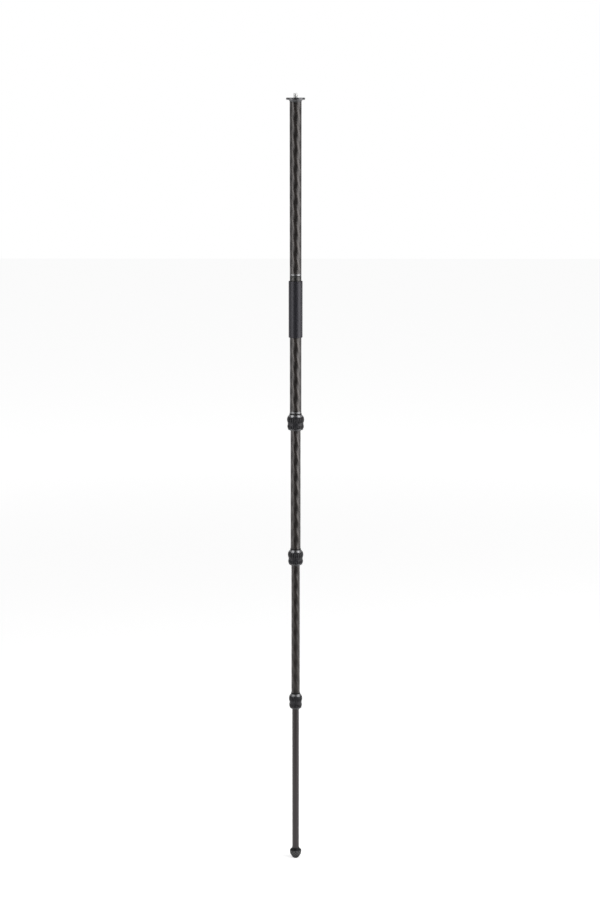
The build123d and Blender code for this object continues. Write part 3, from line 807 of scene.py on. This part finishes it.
def nut(number):
    """The nut of one lock: cone, seat of the sleeve, lip, mouth, seal groove, collet seat and thread."""
    larger, smaller = TUBE_RADIUS[number], TUBE_RADIUS[number + 1]
    lip = LOCK_FULLNESS[number] * CONE_REACH
    outside = outside_lock(number, [(CONE_TIP, CONE_TOP), (CONE_REACH, CONE_BOTTOM),
                                    (SEAT_REACH, CONE_BOTTOM), (SEAT_REACH, SEAT_BOTTOM),
                                    (CONE_REACH, SEAT_BOTTOM)])
    edge = about_lock(number, larger, [(lip, LIP_BOTTOM), (lip - LIP_BEVEL, LIP_BOTTOM - LIP_BEVEL)])
    mouth = about_lock(number, smaller, MOUTH_SIDE + SEAL_GROOVE + COLLET_SEAT)
    thread = about_lock(number, larger, THREAD_BORE)
    bm = round_edges(lathe(outside + edge + mouth + thread, FINE_SIDES), 0.1, over=35)
    shade_and_dullness = bm.verts.layers.float.new("shade")
    for vertex in bm.verts:
        below = LOCK_HEIGHT[number] - height_of(vertex)
        # a duller lip and mouth below, and painted shade on the last lock's cone
        vertex[shade_and_dullness] = max(CONE_SHADE_AND_DULLNESS[number], fade(below, *DULL_BELOW))
    put_on(bm, f"lock_{number}_nut", smooth_under=40)


for number in (1, 2, 3):
    nut(number)

# %% [markdown]
# ## Twist locks: the rubber sleeve
# The sleeve bulges where the fingers press, narrows to a waist and swells again below. Both bulges are
# fluted and the waist is smooth. One way is to cut twenty-four grooves out of it, but rubber has no
# sharp cuts. Here the sleeve is spun from a smooth outline and its points are drawn in along soft
# grooves, whose depth fades towards the waist. The finish darkens the grooves as painted shade, so the
# mesh also keeps how far each point lies in a groove, in the same attribute that the finish reads.

# %% Sleeves
SLEEVE_SIDE = [(CONE_REACH, CONE_BOTTOM), (4.6, 5.6), (5.45, 3.5), (6.0, 1.0), (6.15, -0.8), (5.98, -3.0),
               (5.4, -5.2), (4.87, -7.1), (4.62, -9.1), (4.69, -11.1), (5.05, -13.0), (5.38, -15.0),
               (5.35, -16.9), (4.7, SEAT_BOTTOM)]
SLEEVE_INSIDE = [(SEAT_REACH, SEAT_BOTTOM), (SEAT_REACH, CONE_BOTTOM)]
FLUTES = 24
FLUTE_EDGES = (-0.1, 0.95)
UPPER_FLUTES, UPPER_DEPTH = (-6.8, -4.2, 3.8, 5.4), 1.05
LOWER_FLUTES, LOWER_DEPTH = (-19.4, -18.2, -13.4, -11.6), 0.85
FLUTED_FROM = 3.0


def smooth_run(points, steps):
    """A smooth line through the given points, with a number of steps between each two."""
    ends = [points[0]] + list(points) + [points[-1]]
    run = []
    for before, start, end, after in zip(ends, ends[1:], ends[2:], ends[3:]):
        for step in range(steps):
            share = step / steps
            run.append(tuple(
                0.5 * (2 * b + (c - a) * share + (2 * a - 5 * b + 4 * c - d) * share ** 2
                       + (3 * b - a - 3 * c + d) * share ** 3)
                for a, b, c, d in zip(before, start, end, after)))
    return run + [points[-1]]


def within(value, start, full, last, end):
    """0 before start and after end, 1 from full to last, and smooth between."""
    return fade(value, start, full) * fade(-value, -end, -last)


def grip_sleeve(number):
    """The rubber sleeve of one lock, fluted on its two bulges."""
    outline = outside_lock(number, smooth_run(SLEEVE_SIDE, 4) + SLEEVE_INSIDE)
    bm = lathe(outline, FLUTES * 10)
    shade = bm.verts.layers.float.new("shade")
    for vertex in bm.verts:
        if reach_of(vertex) < TUBE_RADIUS[number] + FLUTED_FROM:
            continue
        rise = height_of(vertex) - LOCK_HEIGHT[number]
        wave = math.cos(FLUTES * math.atan2(vertex.co.y, vertex.co.x))
        groove = fade(wave, *FLUTE_EDGES)
        upper = within(rise, *UPPER_FLUTES)
        lower = within(rise, *LOWER_FLUTES)
        depth = UPPER_DEPTH * upper + LOWER_DEPTH * lower
        # painted shade: how far the point lies in a fluted groove, which the finish darkens
        vertex[shade] = groove * max(upper, lower)
        vertex.co.xy *= 1 - groove * depth / reach_of(vertex)
    put_on(bm, f"lock_{number}_grip_sleeve", smooth_under=50)


for number in (1, 2, 3):
    grip_sleeve(number)

# %% [markdown]
# ## Twist locks: the dust lip
# A thin dark rubber lip rises from each nut and lies close round the tube above. It is a tapered ring
# with a rounded top edge.

# %% Dust lips
DUST_LIP_TOP = 13.2
DUST_LIP_BORE = 0.3

for number in (1, 2, 3):
    taper = bowed((CONE_TIP * LOCK_FULLNESS[number], CONE_TOP), (0.55, DUST_LIP_TOP - 0.1), 0.06, 4)
    inside = [(0.45, DUST_LIP_TOP), (DUST_LIP_BORE, DUST_LIP_TOP - 0.15), (DUST_LIP_BORE, CONE_TOP)]
    dust_lip = lathe(about_lock(number, TUBE_RADIUS[number], taper + inside))
    put_on(dust_lip, f"lock_{number}_wiper", smooth_under=45)

# %% [markdown]
# ## Rubber foot
# The foot is an acorn of hard rubber with a smooth dark cap, and below it a tread of small diamond lugs.
# Two sets of soft grooves wind down it, one to each hand, and what stands between them are the lugs.
# As on the sleeves, the points of a smooth spun shape are drawn in along the grooves, and the grooves
# are darkened as painted shade. The lugs' faces are lightened as painted light, most of all where the
# foot is widest, which a second attribute tells the finish.

# %% Foot
FOOT_TOP = 26.0
LUGS = 12
GROOVE_LEAN = 0.52
LUG_DEPTH = 0.8
LUG_EDGES = (0.15, 0.45)
NET = (1.0, 3.5, 19.1, 20.6)
NET_FROM, NET_TO = 0.4, 21.0
BORE_REACH, BORE_ABOVE = 7.8, 4.5
# how much painted light the lugs' faces get, rising with height, and where it stops below the shoulder
LEAST_LUG_LIGHT, MORE_LUG_LIGHT, LUG_LIGHT_RISE = 0.35, 0.3, (8.0, 14.0)
LUG_LIGHT_TOP = (19.6, 20.6)
SOLE = [(0, 0), (3.5, 0), (5.0, 0.55), (6.4, 1.4), (7.5, 2.6)]
TREAD = [(8.4 + 4.1 * step / 12, 4.0 + 7.0 * step / 12) for step in range(13)]
FLANK = [(12.58, 11.7), (12.65, 12.4), (12.7, 13.1), (12.75, 13.8), (12.85, 14.4), (13.05, 15.0),
         (13.25, 15.6), (13.3, 16.2), (13.3, 16.8), (13.3, 17.4), (13.25, 18.0), (13.1, 18.6), (12.7, 19.2)]
SHOULDER = [(12.2, 19.75), (11.6, 20.35), (11.0, 20.95), (8.9, 23.05)]
NECK = [(8.4, 23.75), (8.2, 24.6), (8.2, 25.7), (8.0, FOOT_TOP)]
FOOT_BORE = [(TUBE_RADIUS[4], FOOT_TOP), (TUBE_RADIUS[4], 12.0), (4.0, 12.0), (4.0, 6.0), (0, 6.0)]

foot = lathe(SOLE + TREAD + FLANK + SHOULDER + NECK + FOOT_BORE, LUGS * 20)
shade = foot.verts.layers.float.new("shade")
painted_lug_light = foot.verts.layers.float.new("painted_lug_light")
for vertex in foot.verts:
    height = height_of(vertex)
    in_bore = reach_of(vertex) < BORE_REACH and height > BORE_ABOVE
    if in_bore or height < NET_FROM or height > NET_TO:
        continue
    angle = math.atan2(vertex.co.y, vertex.co.x)
    left = abs(math.sin(LUGS / 2 * angle + GROOVE_LEAN * height))
    right = abs(math.sin(LUGS / 2 * angle - GROOVE_LEAN * height))
    groove = 1 - fade(min(left, right), *LUG_EDGES)
    depth = within(height, *NET)
    # painted light on the lugs' faces, most where the foot is widest, and painted shade in the grooves
    lug_light = LEAST_LUG_LIGHT + MORE_LUG_LIGHT * fade(height, *LUG_LIGHT_RISE)
    vertex[shade] = groove * depth
    vertex[painted_lug_light] = (1 - groove) * (1 - fade(height, *LUG_LIGHT_TOP)) * lug_light
    vertex.co.xy *= 1 - LUG_DEPTH * groove * depth / reach_of(vertex)
put_on(foot, "rubber_foot", smooth_under=55)

# %% [markdown]
# ## Pieces that stay as they were measured
# The threaded bushes, split collets, slides, seals and plugs sit inside the pole. Their solids are right
# as they are, so they only get their finish. The solids under the new pieces get theirs too, so that
# nothing in the frame is left bare.

# %% Finish of the inner pieces
for name, node in frame["nodes"].items():
    node.data.materials.clear()
    node.data.materials.append(FINISH[slot_of[name]])
kept = [name for name in frame["nodes"] if name + "_piece" not in bpy.data.objects]
print("kept as measured:", len(kept))
